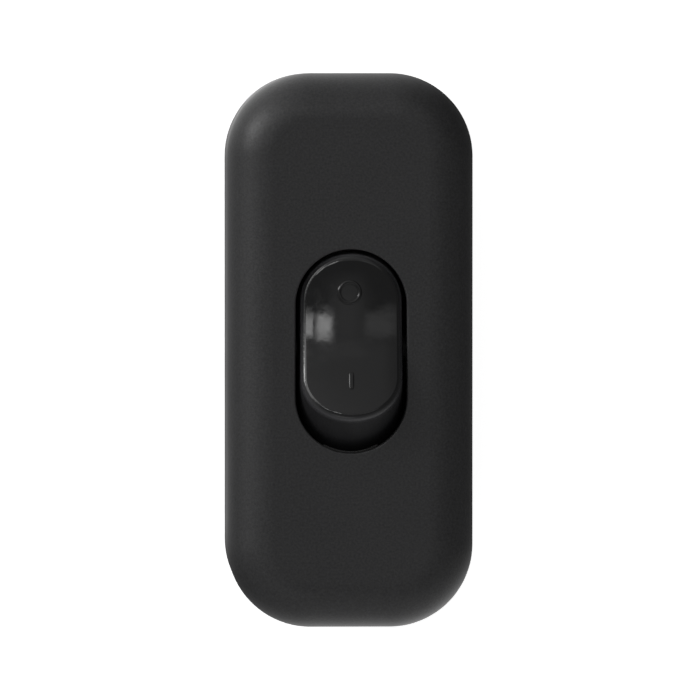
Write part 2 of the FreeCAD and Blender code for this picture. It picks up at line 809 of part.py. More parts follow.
# Assembly
pieces = [build_base(), build_cover(), build_rocker()]
for word, side in (("left", -1), ("right", 1)):
    pieces.append(build_plunger(f"plunger_{word}", side))
    pieces.append(build_spring(f"spring_{word}", side))
    pieces.append(build_contact(f"moving_contact_{word}", side))
    moving = build_rivet(f"moving_rivet_{word}", contact_strip)
    place(moving, pole_offset * side, *on_wing(rivet_reach, contact_strip), contact_tilt * 2)
    pieces.append(moving)
    pieces.append(build_line_terminal(f"line_terminal_{word}", side))
    pieces.append(build_load_terminal(f"load_terminal_{word}", side))
for word, end in (("line", -1), ("load", 1)):
    pieces.append(build_clamp(f"{word}_cord_clamp", end))

upside_down = as_size(180)
housing_screws = []
fixed_rivets = []
terminal_screws = []
clamp_screws = []
for side in (-1, 1):
    shank = parting_height - head_recess + housing_screw_reach
    screw = build_screw(
        f"housing_screw_{side + 1}", housing_screw_radius, shank, housing_head_radius, housing_head_height
    )
    place(screw, housing_screw_x * side, housing_screw_y * side, head_recess, upside_down)
    housing_screws.append(screw)
    fixed = build_rivet(f"fixed_rivet_{side + 1}", terminal_strip)
    place(fixed, pole_offset * side, fixed_contact_y, fixed_seat_top, upside_down)
    fixed_rivets.append(fixed)
    for end in (-1, 1):
        mark = f"{side + 1}{end + 1}"
        screw = build_screw(
            f"terminal_screw_{mark}", wire_screw_radius, block_top - wire_hole_height - screw_clearance,
            wire_head_radius, wire_head_height,
        )
        place(screw, pole_offset * side, (block_start + block_length / 2) * end, block_top)
        terminal_screws.append(screw)
        screw = build_screw(
            f"clamp_screw_{mark}", clamp_screw_radius, clamp_thickness + clamp_screw_reach,
            clamp_head_radius, clamp_head_height,
        )
        place(screw, clamp_screw_offset * side, clamp_y * end, clamp_seat + clamp_thickness)
        clamp_screws.append(screw)
pieces.append(group_of("housing_screws", housing_screws))
pieces.append(group_of("fixed_rivets", fixed_rivets))
pieces.append(group_of("terminal_screws", terminal_screws))
pieces.append(group_of("clamp_screws", clamp_screws))
doc.recompute()

# Nothing is written unless every object is sound
for item in doc.Objects:
    if "Invalid" in item.State or "Error" in item.State:
        raise RuntimeError(f"{item.Name} failed: {item.State}")
for piece in pieces:
    if piece.Shape.isNull() or not piece.Shape.isValid():
        raise RuntimeError(f"{piece.Label} has no valid shape")
os.makedirs("parts", exist_ok=True)
for piece in pieces:
    piece.Shape.exportStep(f"parts/{piece.Label}.step")
    print(f"{piece.Label}: {len(piece.Shape.Solids)} solid(s), {piece.Shape.Volume:.2f} mm3")
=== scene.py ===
import bmesh
import bpy
import math
from mathutils import Euler, Matrix, Vector


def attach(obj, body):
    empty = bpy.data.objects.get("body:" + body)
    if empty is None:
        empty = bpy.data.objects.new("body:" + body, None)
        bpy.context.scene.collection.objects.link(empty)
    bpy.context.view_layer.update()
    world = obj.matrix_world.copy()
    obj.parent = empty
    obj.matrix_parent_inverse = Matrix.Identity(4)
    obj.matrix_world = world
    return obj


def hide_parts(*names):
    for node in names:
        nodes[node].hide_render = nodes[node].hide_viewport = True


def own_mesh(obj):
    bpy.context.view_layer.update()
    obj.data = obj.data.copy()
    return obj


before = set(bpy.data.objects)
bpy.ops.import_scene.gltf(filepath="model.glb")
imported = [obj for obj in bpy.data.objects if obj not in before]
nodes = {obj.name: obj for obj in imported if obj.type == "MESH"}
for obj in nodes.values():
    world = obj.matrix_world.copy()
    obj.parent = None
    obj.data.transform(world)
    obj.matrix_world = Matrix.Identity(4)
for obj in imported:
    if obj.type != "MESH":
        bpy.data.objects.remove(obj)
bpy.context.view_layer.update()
MM = 0.001


# Base shell: the lower half of the housing, a tray with ribs, nests and half of each cord inlet.
# Black ABS, injection moulded in a spark-eroded tool, so it comes out matt with an even fine grain.
# The node's own form is kept, and its surface is made here.
def linear(hex_colour):
    """Linear RGBA of an sRGB hex colour."""
    channels = [int(hex_colour[i:i + 2], 16) / 255 for i in (1, 3, 5)]
    return [c / 12.92 if c <= 0.04045 else ((c + 0.055) / 1.055) ** 2.4 for c in channels] + [1.0]


def add_node(material, kind, inputs, **settings):
    """Add a shader node with its settings, and give its inputs values or links."""
    node = material.node_tree.nodes.new(kind)
    for name, value in settings.items():
        setattr(node, name, value)
    for name, value in inputs.items():
        if isinstance(value, bpy.types.NodeSocket):
            material.node_tree.links.new(value, node.inputs[name])
        else:
            node.inputs[name].default_value = value
    return node


def new_material(name, inputs):
    """Start a material whose shader has the given values on its own sockets."""
    material = bpy.data.materials.new(name)
    material.use_nodes = True
    for socket, value in inputs.items():
        material.node_tree.nodes["Principled BSDF"].inputs[socket].default_value = value
    return material


def drive(material, socket, source):
    """Link a pattern to a socket of the material's shader."""
    material.node_tree.links.new(source, material.node_tree.nodes["Principled BSDF"].inputs[socket])


def finish_with(material, *node_names):
    """Put a material on CAD nodes in place of the one they were packed with."""
    for name in node_names:
        nodes[name].data.materials.clear()
        nodes[name].data.materials.append(material)


# The grain breaks up a broad soft sheen, and the melt's flow makes the sheen a little uneven
pit_width = 0.25 * MM
pit_depth = 0.022 * MM
flow_width = 7.0 * MM
matt_abs = new_material("matt_black_abs", {"IOR": 1.53})
place = add_node(matt_abs, "ShaderNodeTexCoord", {}).outputs["Object"]
pits = add_node(matt_abs, "ShaderNodeTexNoise", {
    "Vector": place, "Scale": 1 / pit_width, "Detail": 3.0, "Roughness": 0.6})
flow = add_node(matt_abs, "ShaderNodeTexNoise", {
    "Vector": place, "Scale": 1 / flow_width, "Detail": 2.0, "Roughness": 0.5})
sheen = add_node(matt_abs, "ShaderNodeMapRange", {
    "Value": flow.outputs["Fac"], "From Min": 0.3, "From Max": 0.7, "To Min": 0.42, "To Max": 0.48})
relief = add_node(matt_abs, "ShaderNodeBump", {
    "Height": pits.outputs["Fac"], "Strength": 1.0, "Distance": pit_depth})
shade = add_node(matt_abs, "ShaderNodeMapRange", {
    "Value": pits.outputs["Fac"], "From Min": 0.3, "From Max": 0.7, "To Min": 0.0, "To Max": 1.0})
shade = add_node(matt_abs, "ShaderNodeMix", {
    "Factor": shade.outputs["Result"], "A": linear("#1e1e1f"), "B": linear("#333334")}, data_type="RGBA")
drive(matt_abs, "Base Color", shade.outputs["Result"])
drive(matt_abs, "Roughness", sheen.outputs["Result"])
drive(matt_abs, "Normal", relief.outputs["Normal"])
finish_with(matt_abs, "base_shell")


# Terminals: four brass blocks with a wire hole. The line side's strips end in the cradles that the
# seesaw contacts rock in, and the load side's carry the fixed contacts. Each drops into its nest.
# Rolled brass, stamped and left bright: warm metal with fine rolling lines along the strip.
line_width = 0.12 * MM
line_depth = 0.003 * MM
line_stretch = (1.0, 0.06, 1.0)
tarnish_width = 2.5 * MM
brass = new_material("rolled_brass", {"Metallic": 1.0})
place = add_node(brass, "ShaderNodeTexCoord", {}).outputs["Object"]
along = add_node(brass, "ShaderNodeMapping", {"Vector": place, "Scale": line_stretch})
lines = add_node(brass, "ShaderNodeTexNoise", {
    "Vector": along.outputs["Vector"], "Scale": 1 / line_width, "Detail": 3.0})
tarnish = add_node(brass, "ShaderNodeTexNoise", {
    "Vector": place, "Scale": 1 / tarnish_width, "Detail": 4.0})
shade = add_node(brass, "ShaderNodeMix", {
    "Factor": tarnish.outputs["Fac"], "A": linear("#d3b066"), "B": linear("#b08a44")}, data_type="RGBA")
polish = add_node(brass, "ShaderNodeMapRange", {
    "Value": lines.outputs["Fac"], "From Min": 0.3, "From Max": 0.7, "To Min": 0.22, "To Max": 0.38})
rolled = add_node(brass, "ShaderNodeBump", {
    "Height": lines.outputs["Fac"], "Strength": 1.0, "Distance": line_depth})
drive(brass, "Base Color", shade.outputs["Result"])
drive(brass, "Roughness", polish.outputs["Result"])
drive(brass, "Normal", rolled.outputs["Normal"])
finish_with(brass, "line_terminal_left", "line_terminal_right", "load_terminal_left", "load_terminal_right")


# Fixed contacts: silver rivets, coined on the contact face and closed up under the strip.
# Fine silver with a faint grey bloom, duller where arcs have touched it.
bloom_width = 0.6 * MM
silver = new_material("coined_silver", {"Metallic": 1.0})
place = add_node(silver, "ShaderNodeTexCoord", {}).outputs["Object"]
bloom = add_node(silver, "ShaderNodeTexNoise", {"Vector": place, "Scale": 1 / bloom_width, "Detail": 4.0})
shade = add_node(silver, "ShaderNodeMix", {
    "Factor": bloom.outputs["Fac"], "A": linear("#e2e1dd"), "B": linear("#bdbbb4")}, data_type="RGBA")
polish = add_node(silver, "ShaderNodeMapRange", {
    "Value": bloom.outputs["Fac"], "From Min": 0.3, "From Max": 0.7, "To Min": 0.18, "To Max": 0.36})
drive(silver, "Base Color", shade.outputs["Result"])
drive(silver, "Roughness", polish.outputs["Result"])
finish_with(silver, "fixed_rivets")


# Terminal screws: slotted pan heads that clamp the wire in its block from above.
# Zinc plated steel, so a pale grey metal with a bluish cast and cloudy patches.
cloud_width = 0.9 * MM
grit_width = 0.08 * MM
grit_depth = 0.002 * MM
zinc = new_material("zinc_plated_steel", {"Metallic": 1.0})
place = add_node(zinc, "ShaderNodeTexCoord", {}).outputs["Object"]
cloud = add_node(zinc, "ShaderNodeTexNoise", {"Vector": place, "Scale": 1 / cloud_width, "Detail": 3.0})
grit = add_node(zinc, "ShaderNodeTexNoise", {"Vector": place, "Scale": 1 / grit_width, "Detail": 2.0})
shade = add_node(zinc, "ShaderNodeMix", {
    "Factor": cloud.outputs["Fac"], "A": linear("#c3c5c6"), "B": linear("#9fa6b0")}, data_type="RGBA")
polish = add_node(zinc, "ShaderNodeMapRange", {
    "Value": cloud.outputs["Fac"], "From Min": 0.3, "From Max": 0.7, "To Min": 0.24, "To Max": 0.38})
plating = add_node(zinc, "ShaderNodeBump", {
    "Height": grit.outputs["Fac"], "Strength": 1.0, "Distance": grit_depth})
drive(zinc, "Base Color", shade.outputs["Result"])
drive(zinc, "Roughness", polish.outputs["Result"])
drive(zinc, "Normal", plating.outputs["Normal"])


def choose(piece, test):
    """In edit mode, select only the faces that a test chooses."""
    bpy.ops.mesh.select_mode(type="FACE")
    bpy.ops.mesh.select_all(action="DESELECT")
    shape = bmesh.from_edit_mesh(piece.data)
    for face in shape.faces:
        face.select_set(test(face))
    bmesh.update_edit_mesh(piece.data)


def apply_modifier(piece, kind, **settings):
    """Add a modifier to a piece and apply it."""
    modifier = piece.modifiers.new(kind.lower(), kind)
    for name, value in settings.items():
        setattr(modifier, name, value)
    bpy.context.view_layer.objects.active = piece
    bpy.ops.object.modifier_apply(modifier=modifier.name)


def driver_slot(length, width, depth):
    """A cutter for a straight slot, with its middle at the origin."""
    bpy.ops.object.select_all(action="DESELECT")
    bpy.ops.mesh.primitive_cube_add(size=width)
    cutter = bpy.context.active_object
    bpy.ops.transform.resize(value=(length / width, 1, depth * 2 / width), center_override=(0, 0, 0))
    bpy.ops.object.transform_apply(location=True, rotation=True, scale=True)
    return cutter


def driver_cross(length, width, depth):
    """A cutter for a cross recess that narrows towards its point, with its mouth at the origin."""
    point_share = 0.3
    bpy.ops.object.select_all(action="DESELECT")
    bpy.ops.mesh.primitive_cube_add(size=width)
    cutter = bpy.context.active_object
    bpy.ops.object.mode_set(mode="EDIT")
    choose(cutter, lambda face: abs(face.normal.z) < 0.5)
    bpy.ops.mesh.extrude_faces_move(TRANSFORM_OT_shrink_fatten={"value": (length - width) / 2})
    bpy.ops.mesh.select_all(action="SELECT")
    bpy.ops.transform.resize(value=(1, 1, depth * 2 / width), center_override=(0, 0, 0))
    choose(cutter, lambda face: face.normal.z < -0.5)
    bpy.ops.transform.resize(value=(point_share, point_share, 1), center_override=(0, 0, 0))
    bpy.ops.object.mode_set(mode="OBJECT")
    return cutter


def make_screw(shank_radius, shank_length, head_radius, head_height, pitch, cutter):
    """A pan-head screw at its own origin, head up, with a driver's recess and a rolled thread."""
    head_round = head_height * 0.42
    core = shank_radius * 0.80
    tip = shank_radius * 0.5
    tip_taper = 0.6
    root = core * 0.96
    crest_share = 0.4
    crease = math.radians(35)
    bpy.ops.object.select_all(action="DESELECT")
    bpy.ops.mesh.primitive_cylinder_add(
        vertices=48, radius=head_radius, depth=head_height, location=(0, 0, head_height / 2))
    screw = bpy.context.active_object
    bpy.ops.object.transform_apply(location=True, rotation=True, scale=True)
    bpy.ops.object.mode_set(mode="EDIT")
    choose(screw, lambda face: face.normal.z > 0.9)
    bpy.ops.mesh.bevel(offset=head_round, segments=6, profile=0.5, affect="EDGES")
    choose(screw, lambda face: face.normal.z < -0.9)
    bpy.ops.mesh.inset(thickness=head_radius - core)
    bpy.ops.mesh.extrude_region_move(TRANSFORM_OT_translate={"value": (0, 0, tip - shank_length)})
    bpy.ops.mesh.extrude_region_move(TRANSFORM_OT_translate={"value": (0, 0, -tip)})
    bpy.ops.transform.resize(value=(tip_taper, tip_taper, 1), center_override=(0, 0, -shank_length))
    bpy.ops.object.mode_set(mode="OBJECT")
    cutter.location = (0, 0, head_height)
    apply_modifier(screw, "BOOLEAN", operation="DIFFERENCE", object=cutter, solver="EXACT")
    bpy.data.objects.remove(cutter)

    # The thread is one ridge, swept up the shank and run out at both of its ends
    turns = int((shank_length - 2 * tip) / pitch)
    bpy.ops.object.select_all(action="DESELECT")
    bpy.ops.mesh.primitive_circle_add(vertices=3, radius=pitch / 3)
    thread = bpy.context.active_object
    corners = [(root, -pitch * crest_share), (shank_radius, 0), (root, pitch * crest_share)]
    for vertex, (across, up) in zip(thread.data.vertices, corners):
        vertex.co = (across, 0, up)
    apply_modifier(
        thread, "SCREW", axis="Z", angle=2 * math.pi, screw_offset=pitch, iterations=turns, steps=24,
        render_steps=24, use_smooth_shade=True)
    bottom = tip - shank_length
    for vertex in thread.data.vertices:
        vertex.co.z += bottom
        share = min(vertex.co.z - bottom, bottom + turns * pitch - vertex.co.z) / pitch
        radius = math.hypot(vertex.co.x, vertex.co.y)
        kept = root + (radius - root) * min(max(share, 0), 1)
        vertex.co.x *= kept / radius
        vertex.co.y *= kept / radius
    bpy.ops.object.mode_set(mode="EDIT")
    bpy.ops.mesh.select_all(action="SELECT")
    bpy.ops.mesh.fill_holes(sides=0)
    bpy.ops.mesh.normals_make_consistent(inside=False)
    bpy.ops.object.mode_set(mode="OBJECT")
    screw.select_set(True)
    bpy.context.view_layer.objects.active = screw
    bpy.ops.object.join()
    bpy.ops.object.shade_smooth_by_angle(angle=crease)
    screw.data.materials.append(zinc)
    return screw


def drive_in(screw, name, node_name, spots, turn):
    """Copy a screw to each of its spots, turned over or not, and let the copies stand for a CAD node."""
    for number, spot in enumerate(spots, 1):
        copy = bpy.data.objects.new(f"{name}_{number}", screw.data.copy())
        bpy.context.scene.collection.objects.link(copy)
        twist = Matrix.Rotation(math.radians(25 * number), 4, "Z")
        copy.data.transform(Matrix.Translation(spot) @ Matrix.Rotation(turn, 4, "X") @ twist)
        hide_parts(node_name)
        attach(copy, "housing")
    bpy.data.objects.remove(screw)


pole = 3.5 * MM
slot = driver_slot(length=5.2 * MM, width=0.6 * MM, depth=0.8 * MM)
wire_screw = make_screw(1.4 * MM, 2.55 * MM, 2.3 * MM, 1.7 * MM, pitch=0.5 * MM, cutter=slot)
wire_spots = [(x, y * MM, 9.6 * MM) for x in (-pole, pole) for y in (-15.2, 15.2)]
drive_in(wire_screw, "terminal_screw", "terminal_screws", wire_spots, turn=0)


# Cord clamps: a bar behind each inlet whose ridge bites on the cord's sheath.
# Black ABS from the same tool as the base, drawn down by two screws each.
finish_with(matt_abs, "line_cord_clamp", "load_cord_clamp")


# Clamp screws: cross-recess self-tappers that cut their own thread in the base's bosses.
# Zinc plated steel, a coarse thread for plastic.
cross = driver_cross(length=2.2 * MM, width=0.55 * MM, depth=0.9 * MM)
clamp_screw = make_screw(1.0 * MM, 7.4 * MM, 1.9 * MM, 1.4 * MM, pitch=0.9 * MM, cutter=cross)
clamp_spots = [(x * MM, y * MM, 12.0 * MM) for x in (-5.8, 5.8) for y in (-23.3, 23.3)]
drive_in(clamp_screw, "clamp_screw", "clamp_screws", clamp_spots, turn=0)


# Seesaw contacts: stamped V strips on two cheeks that rock in the cradles, with a silver rivet each.
# The same rolled brass as the terminals, and the same coined silver as the fixed contacts.
finish_with(brass, "moving_contact_left", "moving_contact_right")
finish_with(silver, "moving_rivet_left", "moving_rivet_right")


# Plungers: round-nosed pins in the rocker's stems that push the seesaws over.
# White acetal, moulded smooth: slightly waxy, with a soft gloss and no grain to speak of.
wax_width = 0.8 * MM
acetal = new_material("moulded_white_acetal", {
    "IOR": 1.48, "Subsurface Weight": 0.15, "Subsurface Scale": 0.3 * MM})
place = add_node(acetal, "ShaderNodeTexCoord", {}).outputs["Object"]
wax = add_node(acetal, "ShaderNodeTexNoise", {"Vector": place, "Scale": 1 / wax_width, "Detail": 3.0})
shade = add_node(acetal, "ShaderNodeMix", {
    "Factor": wax.outputs["Fac"], "A": linear("#eeece5"), "B": linear("#dfdcd1")}, data_type="RGBA")
polish = add_node(acetal, "ShaderNodeMapRange", {
    "Value": wax.outputs["Fac"], "From Min": 0.3, "From Max": 0.7, "To Min": 0.28, "To Max": 0.40})
drive(acetal, "Base Color", shade.outputs["Result"])
drive(acetal, "Roughness", polish.outputs["Result"])
finish_with(acetal, "plunger_left", "plunger_right")


# Springs: five turns of round wire between each plunger's shoulder and the end of its bore.
# Drawn spring steel, dark and a little oily, with the end turns closed up flat.
film_width = 0.5 * MM
wire_steel = new_material("drawn_spring_steel", {"Metallic": 1.0})
place = add_node(wire_steel, "ShaderNodeTexCoord", {}).outputs["Object"]
film = add_node(wire_steel, "ShaderNodeTexNoise", {"Vector": place, "Scale": 1 / film_width, "Detail": 3.0})
shade = add_node(wire_steel, "ShaderNodeMix", {
    "Factor": film.outputs["Fac"], "A": linear("#7b7d80"), "B": linear("#57585b")}, data_type="RGBA")
polish = add_node(wire_steel, "ShaderNodeMapRange", {
    "Value": film.outputs["Fac"], "From Min": 0.3, "From Max": 0.7, "To Min": 0.20, "To Max": 0.34})
drive(wire_steel, "Base Color", shade.outputs["Result"])
drive(wire_steel, "Roughness", polish.outputs["Result"])

tilt = math.radians(12)
axle = Vector((0, 0, 14.7 * MM))
in_rocker = Matrix.Translation(axle) @ Matrix.Rotation(-tilt, 4, "X")
wire = 0.36 * MM
coil_radius = 1.15 * MM
wire_sides = 12
coil_turns = 5
end_turns = 0.75
coil_bottom = -0.98 * MM
coil_length = 4.16 * MM
steps = 32
bpy.ops.object.select_all(action="DESELECT")
bpy.ops.mesh.primitive_circle_add(
    vertices=wire_sides, radius=wire / 2, location=(coil_radius, 0, 0), rotation=(math.pi / 2, 0, 0))
spring = bpy.context.active_object
bpy.ops.object.transform_apply(location=True, rotation=True, scale=True)
climb = coil_length - wire
apply_modifier(
    spring, "SCREW", axis="Z", angle=2 * math.pi * coil_turns, screw_offset=climb, steps=steps * coil_turns,
    render_steps=steps * coil_turns, use_smooth_shade=True)
even_pitch = climb / coil_turns
open_pitch = (climb - 2 * end_turns * wire) / (coil_turns - 2 * end_turns)
for vertex in spring.data.vertices:
    turn = vertex.index // wire_sides / steps
    closed = min(turn, end_turns) + max(turn - coil_turns + end_turns, 0)
    rise = wire * closed + open_pitch * (turn - closed)
    vertex.co.z += coil_bottom + wire / 2 + rise - even_pitch * turn
bpy.ops.object.mode_set(mode="EDIT")
bpy.ops.mesh.select_all(action="SELECT")
bpy.ops.mesh.fill_holes(sides=0)
bpy.ops.mesh.normals_make_consistent(inside=False)
bpy.ops.object.mode_set(mode="OBJECT")
spring.data.materials.append(wire_steel)
for word, across in (("left", -pole), ("right", pole)):
    coil = bpy.data.objects.new(f"plunger_spring_{word}", spring.data.copy())
    bpy.context.scene.collection.objects.link(coil)
    coil.data.transform(in_rocker @ Matrix.Translation((across, 0, 0)))
    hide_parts(f"spring_{word}")
    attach(coil, "rocker")
    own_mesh(coil)
bpy.data.objects.remove(spring)


# Rocker: the lever that a thumb presses, drafted like the window, dished along and crowned across.
# Black ABS. The tool is polished where it forms the face, so this is glossy with the faint waviness
# of a moulding. The rim is satin, and a painted sheen lightens its colour, most towards the O end. The
# flanks come matt from a milled tool, and painted light lightens them towards the O end.
face_height = 7.3 * MM
dish_radius = 50.0 * MM
crown_radius = 22.0 * MM
# Depths of the rim band that is made satin and given a painted sheen in its colour
rim_satin_sheen_from = face_height - 0.015 * MM
rim_satin_sheen_to = face_height - 0.34 * MM
milled_from = face_height - 0.7 * MM
milled_to = face_height - 1.1 * MM
wave_width = 4.0 * MM
wave_depth = 0.03 * MM
smear_width = 1.5 * MM
gloss_abs = new_material("gloss_black_abs", {"IOR": 1.53})
place = add_node(gloss_abs, "ShaderNodeTexCoord", {}).outputs["Object"]
in_piece = add_node(gloss_abs, "ShaderNodeMapping", {
    "Vector": place, "Location": -(Matrix.Rotation(tilt, 3, "X") @ axle), "Rotation": (tilt, 0, 0)})
along = add_node(gloss_abs, "ShaderNodeSeparateXYZ", {0: in_piece.outputs["Vector"]})
crown = add_node(gloss_abs, "ShaderNodeMath", {
    0: along.outputs["X"], 1: along.outputs["X"]}, operation="MULTIPLY")
dish = add_node(gloss_abs, "ShaderNodeMath", {
    0: along.outputs["Y"], 1: along.outputs["Y"]}, operation="MULTIPLY")
above = add_node(gloss_abs, "ShaderNodeMath", {
    0: crown.outputs[0], 1: 0.5 / crown_radius, 2: along.outputs["Z"]}, operation="MULTIPLY_ADD")
above = add_node(gloss_abs, "ShaderNodeMath", {
    0: dish.outputs[0], 1: -0.5 / dish_radius, 2: above.outputs[0]}, operation="MULTIPLY_ADD")
# The band just below the face's edge: rougher, and with a painted sheen in its colour
rim_satin_and_painted_sheen = add_node(gloss_abs, "ShaderNodeMapRange", {
    "Value": above.outputs[0], "From Min": rim_satin_sheen_to, "From Max": rim_satin_sheen_from,
    "To Min": 1.0, "To Max": 0.0})
milled = add_node(gloss_abs, "ShaderNodeMapRange", {
    "Value": above.outputs[0], "From Min": milled_to, "From Max": milled_from,
    "To Min": 1.0, "To Max": 0.0})
# Painted light: the rim and the flanks are made paler towards the O end
painted_light_to_o_end = add_node(gloss_abs, "ShaderNodeMapRange", {
    "Value": along.outputs["Y"], "From Min": -1.0 * MM, "From Max": 4.0 * MM, "To Min": 0.0, "To Max": 1.0})
# Painted sheen: the rim's colour is lightened, most towards the O end
rim_painted_sheen = add_node(gloss_abs, "ShaderNodeMix", {
    "Factor": painted_light_to_o_end.outputs["Result"], "A": linear("#3a3a3c"), "B": linear("#58585a")}, data_type="RGBA")
# The flanks' own matt tone, lightened towards the O end by painted light
flank_and_painted_light = add_node(gloss_abs, "ShaderNodeMix", {
    "Factor": painted_light_to_o_end.outputs["Result"], "A": linear("#1e1e20"), "B": linear("#48484a")}, data_type="RGBA")
shade = add_node(gloss_abs, "ShaderNodeMix", {
    "Factor": rim_satin_and_painted_sheen.outputs["Result"], "A": linear("#0d0d0e"), "B": rim_painted_sheen.outputs["Result"]},
    data_type="RGBA")
shade = add_node(gloss_abs, "ShaderNodeMix", {
    "Factor": milled.outputs["Result"], "A": shade.outputs["Result"], "B": flank_and_painted_light.outputs["Result"]},
    data_type="RGBA")
wave = add_node(gloss_abs, "ShaderNodeTexNoise", {
    "Vector": place, "Scale": 1 / wave_width, "Detail": 5.0, "Roughness": 0.42})
smear = add_node(gloss_abs, "ShaderNodeTexNoise", {
    "Vector": place, "Scale": 1 / smear_width, "Detail": 4.0, "Roughness": 0.6})
polish = add_node(gloss_abs, "ShaderNodeMapRange", {
    "Value": smear.outputs["Fac"], "From Min": 0.35, "From Max": 0.7, "To Min": 0.05, "To Max": 0.14})
polish = add_node(gloss_abs, "ShaderNodeMath", {
    0: rim_satin_and_painted_sheen.outputs["Result"], 1: 0.22, 2: polish.outputs["Result"]}, operation="MULTIPLY_ADD")
polish = add_node(gloss_abs, "ShaderNodeMath", {
    0: milled.outputs["Result"], 1: 0.2, 2: polish.outputs[0]}, operation="MULTIPLY_ADD")
ripple = add_node(gloss_abs, "ShaderNodeBump", {
    "Height": wave.outputs["Fac"], "Strength": 1.0, "Distance": wave_depth})
drive(gloss_abs, "Base Color", shade.outputs["Result"])
drive(gloss_abs, "Roughness", polish.outputs[0])
drive(gloss_abs, "Normal", ripple.outputs["Normal"])
finish_with(gloss_abs, "rocker")


# Marks: the O and the I, moulded on the rocker's face as low round beads.
# One shot with the rocker, so the same glossy black ABS, bent to the face's dish and crown.
bead_width = 0.45 * MM
bead_height = 0.16 * MM
ring_radius = 1.16 * MM
bar_length = 1.95 * MM
bar_width = 0.6 * MM
bar_bevel = 0.10 * MM


def lay_on_face(mark, across, along, name):
    """Bend a flat mark to the rocker's face, at a place on it, and let it ride on the rocker."""
    mark.name = name
    for vertex in mark.data.vertices:
        x = vertex.co.x + across
        y = vertex.co.y + along
        rise = face_height + y * y / (2 * dish_radius) - x * x / (2 * crown_radius)
        vertex.co = (x, y, vertex.co.z + rise)
    mark.data.transform(in_rocker)
    bpy.ops.object.shade_smooth()
    mark.data.materials.append(gloss_abs)
    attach(mark, "rocker")


bpy.ops.object.select_all(action="DESELECT")
bpy.ops.mesh.primitive_torus_add(
    major_radius=ring_radius, minor_radius=bead_width / 2, major_segments=96, minor_segments=24)
ring = bpy.context.active_object
bpy.ops.transform.resize(value=(1, 1, bead_height / (bead_width / 2)), center_override=(0, 0, 0))
bpy.ops.object.transform_apply(location=True, rotation=True, scale=True)
lay_on_face(ring, -0.2 * MM, 5.1 * MM, "off_mark")

bpy.ops.object.select_all(action="DESELECT")
bpy.ops.mesh.primitive_cube_add(size=bar_width)
bar = bpy.context.active_object
bpy.ops.transform.resize(
    value=(1, bar_length / bar_width, 2 * bead_height / bar_width), center_override=(0, 0, 0))
bpy.ops.object.transform_apply(location=True, rotation=True, scale=True)
bpy.ops.object.mode_set(mode="EDIT")
bpy.ops.mesh.select_all(action="SELECT")
bpy.ops.mesh.bevel(offset=bar_bevel, segments=1, affect="EDGES")
bpy.ops.object.mode_set(mode="OBJECT")
apply_modifier(bar, "SUBSURF", levels=3, render_levels=3)
lay_on_face(bar, -0.05 * MM, -4.9 * MM, "on_mark")


# Cover shell: the upper half, with the rocker's window and the bearing lugs under it.
# The same black ABS and the same grained tool as the base, set down over its tongue.
finish_with(matt_abs, "cover_shell")


# Housing screws: two cross-recess self-tappers, sunk in the underside, that hold the cover down.
# Zinc plated steel, driven up through the base's pillars into the cover's bosses.
cross = driver_cross(length=2.5 * MM, width=0.6 * MM, depth=1.0 * MM)
long_screw = make_screw(1.1 * MM, 12.4 * MM, 2.1 * MM, 1.5 * MM, pitch=1.0 * MM, cutter=cross)
long_spots = [(-8.8 * MM, -8.5 * MM, 3.6 * MM), (8.8 * MM, 8.5 * MM, 3.6 * MM)]
drive_in(long_screw, "housing_screw", "housing_screws", long_spots, turn=math.pi)


# Floor: a sheet of white paper, lit so that it shows white and still takes a soft contact shadow.
# In the switch's gloss the sheet shows a painted glow instead of its lit colour, brightest to the left,
# towards its upper left and lower right corners, towards both ends and near the switch.
def corner_light(owner, heading, level, left, ends, corners, least):
    """Brightness by heading: a level, more to the left, to both ends and to two opposite corners."""
    axes = add_node(owner, "ShaderNodeSeparateXYZ", {0: heading})
    end = add_node(owner, "ShaderNodeMath", {
        0: axes.outputs["Y"], 1: axes.outputs["Y"]}, operation="MULTIPLY")
    corner = add_node(owner, "ShaderNodeMath", {
        0: axes.outputs["X"], 1: axes.outputs["Y"]}, operation="MULTIPLY")
    total = add_node(owner, "ShaderNodeMath", {
        0: axes.outputs["X"], 1: -left, 2: level}, operation="MULTIPLY_ADD")
    total = add_node(owner, "ShaderNodeMath", {
        0: end.outputs[0], 1: ends, 2: total.outputs[0]}, operation="MULTIPLY_ADD")
    total = add_node(owner, "ShaderNodeMath", {
        0: corner.outputs[0], 1: -corners, 2: total.outputs[0]}, operation="MULTIPLY_ADD")
    total = add_node(owner, "ShaderNodeMath", {0: total.outputs[0], 1: least}, operation="MAXIMUM")
    return total.outputs[0]


core_corner = Vector((4.0, 21.0, 0)) * MM
near_switch = 10 * MM
off_switch = 70 * MM
paper_lift = 0.85
bpy.ops.object.select_all(action="DESELECT")
bpy.ops.mesh.primitive_plane_add(size=12.0, location=(0, 0, 0))
floor = bpy.context.active_object
floor.name = "floor"
paper = bpy.data.materials.new("white_paper")
paper.use_nodes = True
paper.node_tree.nodes.clear()
spot = add_node(paper, "ShaderNodeTexCoord", {}).outputs["Object"]
middle = add_node(paper, "ShaderNodeVectorMath", {0: spot, 1: -core_corner}, operation="MAXIMUM")
middle = add_node(paper, "ShaderNodeVectorMath", {
    0: middle.outputs[0], 1: core_corner}, operation="MINIMUM")
away = add_node(paper, "ShaderNodeVectorMath", {0: spot, 1: middle.outputs[0]}, operation="SUBTRACT")
heading = add_node(paper, "ShaderNodeVectorMath", {0: away.outputs[0]}, operation="NORMALIZE").outputs[0]
reach = add_node(paper, "ShaderNodeVectorMath", {0: away.outputs[0]}, operation="LENGTH").outputs["Value"]
